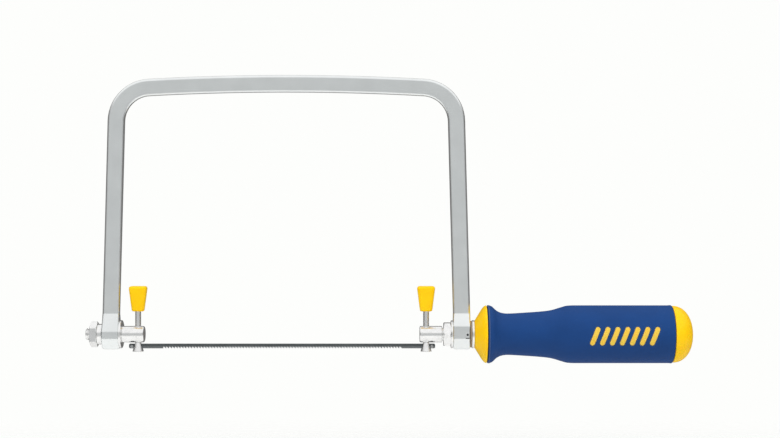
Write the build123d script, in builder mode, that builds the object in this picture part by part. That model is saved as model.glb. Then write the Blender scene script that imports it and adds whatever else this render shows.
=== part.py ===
from build123d import *
import math
import os

os.makedirs("parts", exist_ok=True)

# Coping saw, in millimetres. +X runs from the toe to the handle, +Z up from the blade to
# the bow, and the bow lies in the XZ plane. The origin is on the handle's axis, in the
# middle of the cylindrical part of the grip.

# ---- Driving dimensions ----

# Blade
pin_spacing = 165.1
blade_end = 1.85
blade_width = 2.6
blade_thickness = 0.5
blade_pin_radius = 0.8
blade_pin_length = 4.5
blade_drop = 6.5
tooth_pitch = 25.4 / 16
tooth_depth = 0.9
plain_toe_length = 17.0
plain_heel_length = 16.2

# Bow: one bar, bent twice, with a forged boss at each end
bow_height = 138.1
bar_width = 9.5
bar_thickness = 4.4
bar_edge_radius = 1.6
corner_radius = 19.0
arch_radius = 1400.0
leg_splay = 1.5
boss_width = 9.5
boss_thickness = 10.6
boss_neck_z = 11.6
toe_shoulder_z = 1.4
heel_shoulder_z = 4.6
boss_waist_z = -2.4
boss_foot_z = -8.2
boss_foot_thickness = 4.6
boss_rounding = 0.5

# Index mark on the heel boss
mark_dot_radius = 0.35
mark_dot_inset = 1.6
mark_line_length = 1.8
mark_line_width = 0.4
mark_line_z = -1.9
mark_depth = 0.25

# Spigots and their thread
shank_radius = 3.175
thread_pitch = 1.27
thread_depth = 0.55
groove_width = 1.1
barrel_radius = 4.5
barrel_overhang = 3.6
toe_barrel_length = 12.3
heel_barrel_length = 12.4
barrel_chamfer = 0.7
heel_neck_length = 0.8
heel_neck_radius = 3.6
stud_protrusion = 2.5
centre_drill_radius = 1.0
centre_drill_depth = 1.3
thread_engagement = 30.0

# Washers, spacer and nuts, stacked along the axis
toe_inner_washer_radius = 7.7
toe_inner_washer_thickness = 1.3
toe_spacer_radius = 5.65
toe_spacer_thickness = 2.6
toe_nut_thickness = 3.9
heel_inner_washer_radius = 7.6
heel_inner_washer_thickness = 1.2
heel_nut_thickness = 4.0
heel_friction_washer_radius = 7.3
heel_friction_washer_thickness = 0.9
heel_outer_washer_radius = 7.65
heel_outer_washer_thickness = 1.4
washer_edge = 0.3
nut_across_flats = 12.5
nut_bevel = 0.9

# Levers
rod_radius = 1.6
foot_radius = 3.15
foot_drop = 9.6
foot_rounding = 0.4
slot_width = 0.9
slot_headroom = 0.3
cap_bottom_z = 12.6
cap_height = 13.9
cap_top_width = 10.2
cap_bottom_width = 6.7
cap_top_thickness = 7.0
cap_bottom_thickness = 5.2
cap_rounding = 1.4
cap_side_rounding = 1.0
rod_in_cap = 9.0

# Handle
grip_radius = 15.9
grip_half_length = 27.8
rise_radius = 14.8
rise_x = -33.4
neck_radius = 12.75
neck_x = -42.0
neck_middle_radius = 11.95
neck_middle_x = -53.0
waist_radius = 11.4
waist_x = -63.0
shoulder_radius = 13.2
shoulder_x = -68.7
flange_radius = 16.0
flange_x = -74.2
nose_length = 6.7
nose_face_radius = 7.3
nose_cone_radius = 14.1
nose_cone_length = 4.15
dome_length = 11.4
dome_radius = 15.6
neck_core_radius = 9.0
palm_core_radius = 12.9
core_cone_length = 6.0
insert_across_flats = 10.0
insert_length = 42.0
insert_chamfer = 0.5

# Inlaid bars on both sides of the grip
inlay_count = 7
inlay_pitch = 5.4
inlay_length = 10.8
inlay_width = 2.7
inlay_lean = 68.0
inlay_root = 1.0

# Fits: clearance on the radius, or a gap
running_fit = 0.08
loose_fit = 0.3
pin_gap = 0.1

# ---- Places that follow from them ----

handle_front_x = flange_x - nose_length
outer_washer_x = handle_front_x - heel_outer_washer_thickness
friction_washer_x = outer_washer_x - heel_friction_washer_thickness
heel_boss_x = friction_washer_x - boss_width
heel_inner_washer_x = heel_boss_x - heel_inner_washer_thickness
heel_nut_x = heel_inner_washer_x - heel_nut_thickness
heel_neck_x = heel_nut_x - heel_neck_length
heel_barrel_x = heel_neck_x - heel_barrel_length
heel_stud_x = heel_barrel_x + barrel_overhang
heel_leg_x = heel_boss_x + boss_width / 2

# The pins bear on the outer sides of the two cones, at the middle of the blade's width.
cone_slope = (foot_radius - rod_radius) / (foot_drop - barrel_radius)
cone_angle = math.atan(cone_slope)
cone_radius_at_pin = rod_radius + (blade_drop - barrel_radius) * cone_slope
pin_offset = cone_radius_at_pin + (blade_pin_radius + pin_gap) / math.cos(cone_angle)
stud_spacing = pin_spacing - 2 * pin_offset

toe_stud_x = heel_stud_x - stud_spacing
toe_barrel_end_x = toe_stud_x + barrel_overhang
toe_washer_face_x = toe_barrel_end_x - toe_barrel_length
toe_inner_washer_x = toe_washer_face_x - toe_inner_washer_thickness
toe_boss_x = toe_inner_washer_x - boss_width
toe_spacer_x = toe_boss_x - toe_spacer_thickness
toe_nut_x = toe_spacer_x - toe_nut_thickness
toe_stud_end_x = toe_nut_x - stud_protrusion
toe_leg_x = toe_boss_x + boss_width / 2

heel_pin_x = heel_stud_x + pin_offset
toe_pin_x = toe_stud_x - pin_offset
slot_top_z = -blade_drop + blade_width / 2 + slot_headroom
bore_radius = shank_radius + running_fit
heel_shank_end_x = handle_front_x + thread_engagement


def save(piece, name):
    """Label a finished piece and write it to its STEP file."""
    piece.part.label = name
    export_step(piece.part, f"parts/{name}.step")


def groove_centres(first_x, last_x):
    """Return where the thread's grooves lie between two places along the axis."""
    count = int((last_x - first_x) / thread_pitch)
    return [(first_x + (i + 0.5) * thread_pitch, shank_radius) for i in range(count)]


# ---- Frame ----

# The arch, the corners and the legs are tangent to each other, so the angle that the arch
# spans on each side of the middle follows from the legs' spacing.
leg_spacing = heel_leg_x - toe_leg_x
middle_x = (heel_leg_x + toe_leg_x) / 2
splay = math.radians(leg_splay)
arch_drop = bow_height - boss_neck_z - arch_radius
arch_reach = leg_spacing / 2 * math.cos(splay) - corner_radius - arch_drop * math.sin(splay)
arch_half_angle = math.degrees(math.asin(arch_reach / (arch_radius - corner_radius))) - leg_splay
corner_turn = 90 - leg_splay - arch_half_angle


def boss_outline(shoulder_z):
    """Return the YZ outline of a forged boss whose full thickness starts at shoulder_z."""
    half = [
        (bar_thickness / 2, boss_neck_z),
        (boss_thickness / 2, shoulder_z),
        (boss_thickness / 2, boss_waist_z),
        (boss_foot_thickness / 2, boss_foot_z),
    ]
    return half + [(-y, z) for y, z in reversed(half)]


with BuildPart() as frame:
    with BuildLine(Plane.XZ) as bow:
        arch = JernArc(
            (middle_x, bow_height),
            Vector(-1, 0, 0),
            arch_radius,
            arch_half_angle,
        )
        corner = JernArc(arch @ 1, arch % 1, corner_radius, corner_turn)
        leg_length = ((corner @ 1).Z - boss_neck_z + 1) / math.cos(splay)
        Line(corner @ 1, corner @ 1 + (corner % 1) * leg_length)
        mirror(about=Plane.YZ.offset(middle_x))
    leg_foot = bow.line @ 0
    with BuildSketch(Plane(leg_foot, x_dir=(0, 1, 0), z_dir=bow.line % 0)):
        RectangleRounded(bar_thickness, bar_width, bar_edge_radius)
    sweep(path=bow.line)
    for boss_x, shoulder_z in ((toe_boss_x, toe_shoulder_z), (heel_boss_x, heel_shoulder_z)):
        with BuildSketch(Plane.YZ.offset(boss_x)):
            Polygon(*boss_outline(shoulder_z), align=None)
            fillet(vertices().group_by(Axis.Y)[:-1], boss_rounding)
        extrude(amount=boss_width)
        with BuildSketch(Plane.YZ.offset(boss_x)):
            Circle(bore_radius)
        extrude(amount=boss_width, mode=Mode.SUBTRACT)
    # Index mark on the front of the heel boss: a dot and a short line under it.
    dot_x = heel_boss_x + boss_width - mark_dot_inset
    with BuildSketch(Plane.XZ.offset(boss_thickness / 2)):
        with Locations((dot_x, 0)):
            Circle(mark_dot_radius)
        with Locations((dot_x, mark_line_z)):
            SlotOverall(mark_line_length, mark_line_width)
    extrude(amount=-mark_depth, mode=Mode.SUBTRACT)
save(frame, "frame")

# ---- Spigots ----

groove_outline = [(-groove_width / 2, 0), (0, -thread_depth), (groove_width / 2, 0)]

with BuildPart() as toe_spigot:
    with BuildSketch(Plane.XZ):
        with BuildLine():
            Polyline(
                (toe_stud_end_x, 0),
                (toe_stud_end_x, shank_radius - washer_edge),
                (toe_stud_end_x + washer_edge, shank_radius),
                (toe_washer_face_x, shank_radius),
                (toe_washer_face_x, barrel_radius),
                (toe_barrel_end_x - barrel_chamfer, barrel_radius),
                (toe_barrel_end_x, barrel_radius - barrel_chamfer),
                (toe_barrel_end_x, 0),
                close=True,
            )
        make_face()
    revolve(axis=Axis.X)
    with BuildSketch(Plane.XZ):
        with Locations(*groove_centres(toe_stud_end_x + washer_edge, toe_spacer_x)):
            Polygon(*groove_outline, align=None)
    revolve(axis=Axis.X, mode=Mode.SUBTRACT)
    with BuildSketch(Plane.XZ):
        with BuildLine():
            Polyline(
                (toe_stud_end_x, 0),
                (toe_stud_end_x, centre_drill_radius),
                (toe_stud_end_x + centre_drill_depth, 0),
                close=True,
            )
        make_face()
    revolve(axis=Axis.X, mode=Mode.SUBTRACT)
    with Locations((toe_stud_x, 0, 0)):
        Cylinder(rod_radius, 2 * barrel_radius + 1, mode=Mode.SUBTRACT)
save(toe_spigot, "toe_spigot")

with BuildPart() as heel_spigot:
    with BuildSketch(Plane.XZ):
        with BuildLine():
            Polyline(
                (heel_barrel_x, 0),
                (heel_barrel_x, barrel_radius - barrel_chamfer),
                (heel_barrel_x + barrel_chamfer, barrel_radius),
                (heel_neck_x, barrel_radius),
                (heel_neck_x, heel_neck_radius),
                (heel_nut_x, heel_neck_radius),
                (heel_nut_x, shank_radius),
                (heel_shank_end_x - washer_edge, shank_radius),
                (heel_shank_end_x, shank_radius - washer_edge),
                (heel_shank_end_x, 0),
                close=True,
            )
        make_face()
    revolve(axis=Axis.X)
    with BuildSketch(Plane.XZ):
        with Locations(*groove_centres(handle_front_x, heel_shank_end_x)):
            Polygon(*groove_outline, align=None)
    revolve(axis=Axis.X, mode=Mode.SUBTRACT)
    with Locations((heel_stud_x, 0, 0)):
        Cylinder(rod_radius, 2 * barrel_radius + 1, mode=Mode.SUBTRACT)
save(heel_spigot, "heel_spigot")

# ---- Levers: a rod with a slotted cone at the foot, and a moulded cap ----

cap_top_z = cap_bottom_z + cap_height
rod_top_z = cap_bottom_z + rod_in_cap


def lever_pin(stud_x, name):
    """Make the rod that stands in a spigot's barrel and holds one end of the blade."""
    with BuildPart() as rod:
        with BuildSketch(Plane.XZ):
            with BuildLine():
                Polyline(
                    (stud_x, -foot_drop),
                    (stud_x + foot_radius, -foot_drop),
                    (stud_x + rod_radius, -barrel_radius),
                    (stud_x + rod_radius, rod_top_z),
                    (stud_x, rod_top_z),
                    close=True,
                )
            make_face()
        revolve(axis=Axis((stud_x, 0, 0), (0, 0, 1)))
        fillet(rod.faces().sort_by(Axis.Z)[0].edges(), foot_rounding)
        slot_height = foot_drop + slot_top_z
        with Locations((stud_x, 0, slot_top_z)):
            Box(
                3 * foot_radius,
                slot_width,
                slot_height,
                align=(Align.CENTER, Align.CENTER, Align.MAX),
                mode=Mode.SUBTRACT,
            )
    save(rod, name)


def lever_cap(stud_x, name):
    """Make the moulded cap on the top of a lever's rod."""
    with BuildPart() as cap:
        with BuildSketch(Plane.XY.offset(cap_bottom_z)):
            with Locations((stud_x, 0)):
                RectangleRounded(cap_bottom_width, cap_bottom_thickness, cap_side_rounding)
        with BuildSketch(Plane.XY.offset(cap_top_z)):
            with Locations((stud_x, 0)):
                RectangleRounded(cap_top_width, cap_top_thickness, cap_side_rounding)
        loft()
        fillet(cap.faces().sort_by(Axis.Z)[-1].edges(), cap_rounding)
        with BuildSketch(Plane.XY.offset(cap_bottom_z)):
            with Locations((stud_x, 0)):
                Circle(rod_radius)
        extrude(amount=rod_in_cap, mode=Mode.SUBTRACT)
    save(cap, name)


for side, stud_x in (("toe", toe_stud_x), ("heel", heel_stud_x)):
    lever_pin(stud_x, f"{side}_lever_pin")
    lever_cap(stud_x, f"{side}_lever_cap")

# ---- Washers, spacer and nuts ----


def ring(start_x, thickness, outer_radius, hole_radius, name):
    """Make a flat ring on the axis, with both outer edges broken."""
    with BuildPart() as disc:
        with BuildSketch(Plane.YZ.offset(start_x)):
            Circle(outer_radius)
            Circle(hole_radius, mode=Mode.SUBTRACT)
        extrude(amount=thickness)
        rims = disc.edges().filter_by(GeomType.CIRCLE).group_by(SortBy.RADIUS)[-1]
        fillet(rims, min(washer_edge, thickness * 0.4))
    save(disc, name)


ring(toe_inner_washer_x, toe_inner_washer_thickness, toe_inner_washer_radius,
     shank_radius, "toe_inner_washer")
ring(toe_spacer_x, toe_spacer_thickness, toe_spacer_radius, shank_radius, "toe_spacer")
ring(heel_inner_washer_x, heel_inner_washer_thickness, heel_inner_washer_radius,
     bore_radius, "heel_inner_washer")
ring(friction_washer_x, heel_friction_washer_thickness, heel_friction_washer_radius,
     shank_radius + loose_fit, "heel_friction_washer")
ring(outer_washer_x, heel_outer_washer_thickness, heel_outer_washer_radius,
     shank_radius + loose_fit, "heel_outer_washer")


def hex_nut(start_x, thickness, turn, name):
    """Make a hexagon nut on the axis, with its corners bevelled on both faces."""
    hex_radius = nut_across_flats / math.sqrt(3)
    with BuildPart() as nut:
        with BuildSketch(Plane.YZ.offset(start_x)):
            RegularPolygon(nut_across_flats / 2, 6, major_radius=False, rotation=turn)
        extrude(amount=thickness)
        with BuildSketch(Plane.XZ):
            with BuildLine():
                Polyline(
                    (start_x, 0),
                    (start_x, hex_radius - nut_bevel),
                    (start_x + nut_bevel / 2, hex_radius),
                    (start_x + thickness - nut_bevel / 2, hex_radius),
                    (start_x + thickness, hex_radius - nut_bevel),
                    (start_x + thickness, 0),
                    close=True,
                )
            make_face()
        revolve(axis=Axis.X, mode=Mode.INTERSECT)
        with BuildSketch(Plane.YZ.offset(start_x)):
            Circle(shank_radius)
        extrude(amount=thickness, mode=Mode.SUBTRACT)
    save(nut, name)


hex_nut(toe_nut_x, toe_nut_thickness, 30, "toe_nut")
hex_nut(heel_nut_x, heel_nut_thickness, 0, "heel_nut")

# ---- Blade ----

blade_bottom_z = -blade_drop - blade_width / 2
blade_toe_x = toe_pin_x - blade_end
blade_heel_x = heel_pin_x + blade_end
teeth_start_x = toe_pin_x + plain_toe_length
teeth_end_x = heel_pin_x - plain_heel_length
tooth_count = int((teeth_end_x - teeth_start_x) / tooth_pitch)

with BuildPart() as blade:
    with BuildSketch(Plane.XZ):
        with Locations(((blade_toe_x + blade_heel_x) / 2, -blade_drop)):
            Rectangle(blade_heel_x - blade_toe_x, blade_width)
        with Locations((toe_pin_x, -blade_drop), (heel_pin_x, -blade_drop)):
            Circle(blade_pin_radius, mode=Mode.SUBTRACT)
        # Each gullet rises steeply behind one tooth's point and slopes down to the next,
        # so that the teeth point at the handle and cut on the pull.
        gullets = [(teeth_start_x + i * tooth_pitch, blade_bottom_z) for i in range(tooth_count)]
        with Locations(*gullets):
            Polygon((0, 0), (0, tooth_depth), (tooth_pitch, 0), align=None, mode=Mode.SUBTRACT)
    extrude(amount=blade_thickness / 2, both=True)
save(blade, "blade")


def blade_pin(pin_x, name):
    """Make the cross pin in one end of the blade."""
    with BuildPart() as pin:
        with BuildSketch(Plane.XZ.offset(-blade_pin_length / 2)):
            with Locations((pin_x, -blade_drop)):
                Circle(blade_pin_radius)
        extrude(amount=blade_pin_length)
        chamfer(pin.edges().filter_by(GeomType.CIRCLE), blade_pin_radius / 5)
    save(pin, name)


blade_pin(toe_pin_x, "toe_blade_pin")
blade_pin(heel_pin_x, "heel_blade_pin")

# ---- Handle ----

palm_front_x = -grip_half_length
core_step_x = palm_front_x - core_cone_length
inlay_places = [((i - (inlay_count - 1) / 2) * inlay_pitch, 0) for i in range(inlay_count)]

# The bars fill windows in the grip and reach its surface on both sides.
with BuildPart() as inlays:
    with BuildSketch(Plane.XZ):
        with Locations(*inlay_places):
            SlotOverall(inlay_length, inlay_width, rotation=inlay_lean)
    extrude(amount=grip_radius, both=True)
    with BuildSketch(Plane.YZ.offset(palm_front_x)):
        Circle(grip_radius)
        Circle(palm_core_radius - inlay_root, mode=Mode.SUBTRACT)
    extrude(amount=2 * grip_half_length, mode=Mode.INTERSECT)

with BuildPart() as handle_core:
    with BuildSketch(Plane.XZ):
        with BuildLine():
            nose_cone = Line(
                (handle_front_x, nose_face_radius),
                (handle_front_x + nose_cone_length, nose_cone_radius),
            )
            TangentArc(nose_cone @ 1, (flange_x, flange_radius), tangent=nose_cone % 1)
            Polyline(
                (flange_x, flange_radius),
                (flange_x, neck_core_radius),
                (core_step_x, neck_core_radius),
                (palm_front_x, palm_core_radius),
                (grip_half_length, palm_core_radius),
                (grip_half_length, dome_radius),
            )
            EllipticalCenterArc(
                (grip_half_length, 0), dome_length, dome_radius, 0, arc_size=90,
            )
            Polyline(
                (grip_half_length + dome_length, 0),
                (handle_front_x, 0),
                (handle_front_x, nose_face_radius),
            )
        make_face()
    revolve(axis=Axis.X)
    add(inlays)
    with BuildSketch(Plane.YZ.offset(handle_front_x)):
        RegularPolygon(insert_across_flats / 2, 6, major_radius=False)
    extrude(amount=insert_length, mode=Mode.SUBTRACT)
save(handle_core, "handle_core")

with BuildPart() as handle_insert:
    with BuildSketch(Plane.YZ.offset(handle_front_x)):
        RegularPolygon(insert_across_flats / 2, 6, major_radius=False)
        Circle(bore_radius, mode=Mode.SUBTRACT)
    extrude(amount=insert_length)
    mouth = handle_insert.edges().filter_by(GeomType.CIRCLE).sort_by(Axis.X)[0]
    chamfer(mouth, insert_chamfer)
save(handle_insert, "handle_insert")

with BuildPart() as handle_grip:
    with BuildSketch(Plane.XZ):
        with BuildLine():
            Spline(
                (flange_x, flange_radius),
                (shoulder_x, shoulder_radius),
                (waist_x, waist_radius),
                tangents=((1, 0), (1, 0)),
            )
            Spline(
                (waist_x, waist_radius),
                (neck_middle_x, neck_middle_radius),
                (neck_x, neck_radius),
                (rise_x, rise_radius),
                (palm_front_x, grip_radius),
                tangents=((1, 0), (1, 0)),
            )
            Polyline(
                (palm_front_x, grip_radius),
                (grip_half_length, grip_radius),
                (grip_half_length, palm_core_radius),
                (palm_front_x, palm_core_radius),
                (core_step_x, neck_core_radius),
                (flange_x, neck_core_radius),
                (flange_x, flange_radius),
            )
        make_face()
    revolve(axis=Axis.X)
    add(inlays, mode=Mode.SUBTRACT)
save(handle_grip, "handle_grip")
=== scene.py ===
"""Finished look of a coping saw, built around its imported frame.

Lengths in the classes are in millimetres. Meshes are written in metres, in the frame's axes:
+X from the toe to the handle, +Z up from the blade to the bow, Y across the bow.
"""

import logging
import math
from collections.abc import Callable, Sequence
from dataclasses import dataclass, field
from enum import Enum

import bmesh
import bpy
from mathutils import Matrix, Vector


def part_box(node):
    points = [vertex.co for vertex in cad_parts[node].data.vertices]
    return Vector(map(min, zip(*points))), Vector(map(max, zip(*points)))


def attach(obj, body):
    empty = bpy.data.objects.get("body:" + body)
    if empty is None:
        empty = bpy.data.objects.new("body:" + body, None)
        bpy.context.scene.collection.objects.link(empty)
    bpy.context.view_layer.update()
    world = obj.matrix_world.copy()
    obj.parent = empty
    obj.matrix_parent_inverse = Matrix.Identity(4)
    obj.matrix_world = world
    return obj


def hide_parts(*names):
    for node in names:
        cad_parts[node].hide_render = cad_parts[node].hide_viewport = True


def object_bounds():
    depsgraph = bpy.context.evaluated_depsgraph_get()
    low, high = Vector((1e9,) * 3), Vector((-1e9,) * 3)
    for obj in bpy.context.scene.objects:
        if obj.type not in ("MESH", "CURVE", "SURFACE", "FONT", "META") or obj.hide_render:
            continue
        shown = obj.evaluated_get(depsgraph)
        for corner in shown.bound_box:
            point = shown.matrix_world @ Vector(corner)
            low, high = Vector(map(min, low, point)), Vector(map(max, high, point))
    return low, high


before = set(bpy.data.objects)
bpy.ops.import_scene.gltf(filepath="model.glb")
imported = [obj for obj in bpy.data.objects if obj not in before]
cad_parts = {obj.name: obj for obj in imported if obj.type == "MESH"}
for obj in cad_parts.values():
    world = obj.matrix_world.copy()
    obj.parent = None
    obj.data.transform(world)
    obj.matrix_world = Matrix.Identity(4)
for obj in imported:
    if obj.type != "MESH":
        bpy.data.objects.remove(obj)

log = logging.getLogger("coping_saw")

MM = 0.001
CAD_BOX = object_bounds()

Point = tuple[float, float]
Place = tuple[float, float, float]
Colour = tuple[float, float, float]


# ---------------------------------------------------------------------------
# Shader maths
# ---------------------------------------------------------------------------


class Signal:
    """A shader socket that takes part in Python arithmetic."""

    def __init__(self, graph: "Graph", socket: bpy.types.NodeSocket | None) -> None:
        """Keep the socket and the graph that its next nodes join."""
        self.graph = graph
        self.socket = socket

    def __add__(self, other: "Signal | float") -> "Signal":
        """Add."""
        return self.graph.math("ADD", self, other)

    __radd__ = __add__

    def __sub__(self, other: "Signal | float") -> "Signal":
        """Subtract."""
        return self.graph.math("SUBTRACT", self, other)

    def __rsub__(self, other: float) -> "Signal":
        """Subtract from a number."""
        return self.graph.math("SUBTRACT", other, self)

    def __mul__(self, other: "Signal | float") -> "Signal":
        """Multiply."""
        return self.graph.math("MULTIPLY", self, other)

    __rmul__ = __mul__

    def rise(self, low: float, high: float) -> "Signal":
        """Step smoothly from 0 to 1.

        Args:
            low: Where it starts to rise from 0.
            high: Where it reaches 1.

        Returns:
            The stepped value.
        """
        settings = {"interpolation_type": "SMOOTHSTEP"}
        inputs = {"Value": self, "From Min": low, "From Max": high}
        return self.graph.node("ShaderNodeMapRange", settings, inputs)


Value = Signal | float | int | Sequence[float]


class Graph:
    """Adds nodes to one node tree."""

    def __init__(self, tree: bpy.types.NodeTree) -> None:
        """Start with an empty tree."""
        tree.nodes.clear()
        self.tree = tree

    def node(
        self,
        kind: str,
        settings: dict[str, object] | None = None,
        inputs: dict[str | int, Value] | None = None,
        output: int = 0,
    ) -> Signal:
        """Add one node.

        Args:
            kind: Blender's name for the node's type.
            settings: The node's own properties, which are set first.
            inputs: Numbers, colours or signals for its sockets, by name or place.
            output: Which of its outputs to return.

        Returns:
            The chosen output.
        """
        made = self.tree.nodes.new(kind)
        for key, value in (settings or {}).items():
            setattr(made, key, value)
        for key, value in (inputs or {}).items():
            if isinstance(value, Signal):
                self.tree.links.new(value.socket, made.inputs[key])
            else:
                made.inputs[key].default_value = value
        return Signal(self, made.outputs[output] if len(made.outputs) else None)

    def math(self, operation: str, *values: Value) -> Signal:
        """Add a Math node and return its value."""
        return self.node("ShaderNodeMath", {"operation": operation}, dict(enumerate(values)))

    def vector(self, operation: str, *values: Value, output: int = 0) -> Signal:
        """Add a Vector Math node; output 1 is its value, as for a length."""
        settings = {"operation": operation}
        return self.node("ShaderNodeVectorMath", settings, dict(enumerate(values)), output)

    def position(self, stretch: Place = (1.0, 1.0, 1.0)) -> Signal:
        """Return the place on the piece in millimetres, stretched along each axis."""
        place = self.node("ShaderNodeTexCoord", output=3)
        return self.vector("MULTIPLY", place, tuple(s / MM for s in stretch))

    def attribute(self, name: str, stretch: Place = (1.0, 1.0, 1.0)) -> Signal:
        """Return a vector that the mesh carries, stretched along each axis."""
        carried = self.node("ShaderNodeAttribute", {"attribute_name": name}, output=1)
        return self.vector("MULTIPLY", carried, stretch)

    def noise(self, place: Signal, scale: float, detail: float = 3.0, rough: float = 0.5) -> Signal:
        """Return cloudy noise from 0 to 1 at a place in millimetres."""
        inputs = {"Vector": place, "Scale": scale, "Detail": detail, "Roughness": rough}
        return self.node("ShaderNodeTexNoise", None, inputs)

    def speckle(self, place: Signal, scale: float, size: float) -> Signal:
        """Spot a surface, with one small round spot in each cell.

        Args:
            place: A place in millimetres.
            scale: Cells to the millimetre.
            size: The spots' size, as a share of a cell.

        Returns:
            1 in the spots and 0 between them.
        """
        inputs = {"Vector": place, "Scale": scale}
        distance = self.node("ShaderNodeTexVoronoi", None, inputs)
        return 1.0 - distance.rise(size * 0.5, size)

    def edges(self, radius: float) -> Signal:
        """Find edges and corners, which the rubber lightens as wear and the metals and plastics
        lighten as a painted highlight.

        Args:
            radius: How far from an edge it reaches, in millimetres.

        Returns:
            1 on edges and 0 on flats.
        """
        soft = self.node("ShaderNodeBevel", {"samples": 4}, {"Radius": radius * MM})
        hard = self.node("ShaderNodeNewGeometry", output=1)
        return (1.0 - self.vector("DOT_PRODUCT", soft, hard, output=1)).rise(0.01, 0.16)

    def blend(self, low: Value, high: Value, factor: Signal) -> Signal:
        """Mix two colours.

        Args:
            low: The colour where the factor is 0.
            high: The colour where it is 1.
            factor: How far to go from low to high.

        Returns:
            The mixed colour.
        """
        settings = {"data_type": "RGBA"}
        low, high = (c if isinstance(c, Signal) else (*c, 1.0) for c in (low, high))
        return self.node("ShaderNodeMix", settings, {0: factor, 6: low, 7: high}, output=2)

    def bump(self, height: Signal, depth: float) -> Signal:
        """Return a normal bumped by a height of 0 to 1 over a depth in millimetres."""
        inputs = {"Height": height, "Distance": depth * MM, "Strength": 1.0}
        return self.node("ShaderNodeBump", None, inputs)


# ---------------------------------------------------------------------------
# Finishes
# ---------------------------------------------------------------------------


MADE: dict[str, bpy.types.Material] = {}


class Along(Enum):
    """The axis that a turned piece was spun about."""

    X = (1.0, 0.0, 0.0)
    Z = (0.0, 0.0, 1.0)


@dataclass(frozen=True)
class Finish:
    """A surface finish: a name, a colour, and what is the same all over it."""

    name: str
    colour: Colour
    constants: dict[str, Value] = field(default_factory=dict, hash=False)

    def paint(self, graph: Graph) -> dict[str, Signal]:
        """Work out what varies over the surface.

        Args:
            graph: The material's graph.

        Returns:
            The values, by the shader's socket.
        """
        raise NotImplementedError

    def material(self) -> bpy.types.Material:
        """Make this finish's material on first use.

        Returns:
            The material.
        """
        if self.name not in MADE:
            made = MADE[self.name] = bpy.data.materials.new(self.name)
            made.use_nodes = True
            graph = Graph(made.node_tree)
            inputs: dict[str, Value] = {**self.constants, **self.paint(graph)}
            shader = graph.node("ShaderNodeBsdfPrincipled", None, inputs)
            graph.node("ShaderNodeOutputMaterial", None, {"Surface": shader})
        return MADE[self.name]


@dataclass(frozen=True)
class SatinPlate(Finish):
    """Drawn steel bar under a satin plating, with streaks along the bar."""

    def paint(self, graph: Graph) -> dict[str, Signal]:
        """Streak the plating along the bar, cloud it a little and paint a pale highlight along the
        edges.

        Args:
            graph: The material's graph.

        Returns:
            The values, by the shader's socket.
        """
        drawn = graph.noise(graph.attribute("grain", (0.03, 2.2, 2.2)), 1.0, 5.0, 0.6)
        fine = graph.noise(graph.attribute("grain", (0.12, 9.0, 9.0)), 1.0, 3.0, 0.6)
        cloud = graph.noise(graph.position(), 0.09, 3.0)
        pits = graph.speckle(graph.position(), 0.9, 0.12) * cloud.rise(0.5, 0.7)
        edge = graph.edges(0.7)
        streaks = drawn * 0.5 + fine * 0.3 + cloud * 0.2
        dark = tuple(c * 0.86 for c in self.colour)
        light = tuple(min(1.0, c * 1.12) for c in self.colour)
        plate = graph.blend(dark, light, streaks.rise(0.25, 0.75))
        # Painted highlight: the edges are blended toward near-white, standing in for light caught on
        # the rounded edges.
        plate = graph.blend(plate, (0.92, 0.92, 0.91), edge * 0.5)
        return {
            "Base Color": graph.blend(plate, (0.30, 0.29, 0.27), pits * 0.5),
            "Roughness": 0.22 + fine * 0.08 + drawn * 0.05 - edge * 0.06 + pits * 0.2,
            "Normal": graph.bump(drawn * 0.5 + fine * 0.5 - pits, 0.012),
        }


@dataclass(frozen=True)
class TurnedPlate(Finish):
    """Bright plated steel that was turned, with fine rings about its axis."""

    along: Along = Along.X
    centre: Place = (0.0, 0.0, 0.0)
    gloss: float = 0.14

    def paint(self, graph: Graph) -> dict[str, Signal]:
        """Ring the surface about its axis, smudge it and paint a pale highlight along its edges.

        Args:
            graph: The material's graph.

        Returns:
            The values, by the shader's socket.
        """
        place = graph.vector("SUBTRACT", graph.position(), self.centre)
        spin = graph.vector("DOT_PRODUCT", place, self.along.value, output=1)
        scale = {"operation": "SCALE"}
        axial = graph.node("ShaderNodeVectorMath", scale, {0: self.along.value, 3: spin})
        radial = graph.vector("LENGTH", graph.vector("SUBTRACT", place, axial), output=1)
        turned = graph.node("ShaderNodeCombineXYZ", None, {0: spin * 5.0, 1: radial * 5.0})
        rings = graph.noise(turned, 1.6, 4.0, 0.65)
        smudge = graph.noise(graph.position(), 0.35, 4.0, 0.6).rise(0.4, 0.75)
        scratch = graph.noise(graph.position((6.0, 0.4, 3.0)), 1.2, 5.0, 0.7).rise(0.6, 0.72)
        edge = graph.edges(0.35)
        dull = tuple(c * 0.80 for c in self.colour)
        plate = graph.blend(self.colour, dull, smudge * 0.5 + rings * 0.25)
        return {
            # Painted highlight: the edges are blended toward near-white, standing in for light
            # caught on them; the rings and smudges are the plate's own marks.
            "Base Color": graph.blend(plate, (0.93, 0.93, 0.92), edge * 0.6),
            "Roughness": self.gloss + rings * 0.09 + smudge * 0.10 + scratch * 0.08,
            "Normal": graph.bump(rings * 0.6 - scratch * 0.5, 0.006),
        }


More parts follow.
